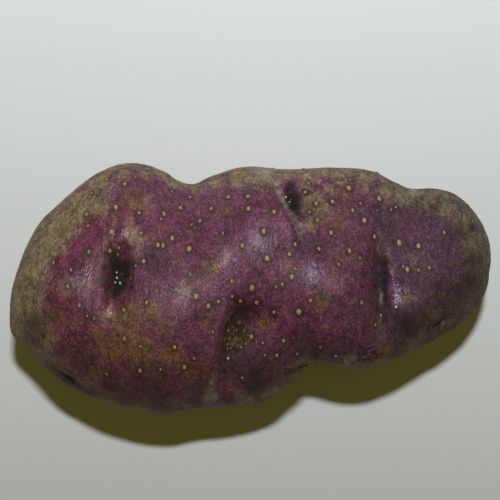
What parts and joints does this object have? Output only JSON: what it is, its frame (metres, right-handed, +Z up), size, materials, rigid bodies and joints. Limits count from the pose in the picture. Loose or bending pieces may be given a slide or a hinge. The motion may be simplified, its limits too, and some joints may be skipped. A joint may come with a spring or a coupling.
{
  "type": "potato",
  "caption": "Long, knobbly, purple-skinned potato with deep eyes, a waist and a tapering end, lying on its side on a small flat spot.",
  "frame": {"origin": "under the middle of the tuber's box, on the surface that it lies on", "axes": "+X along the tuber towards its rose end, +Y across it, +Z up, towards the side that the picture shows"},
  "size_m": [0.1116, 0.0578, 0.0488],
  "materials": {
    "skin": "thin purple skin with corky specks, half matt"
  },
  "bodies": {
    "root": {"potato": "skin"}
  },
  "joints": []
}
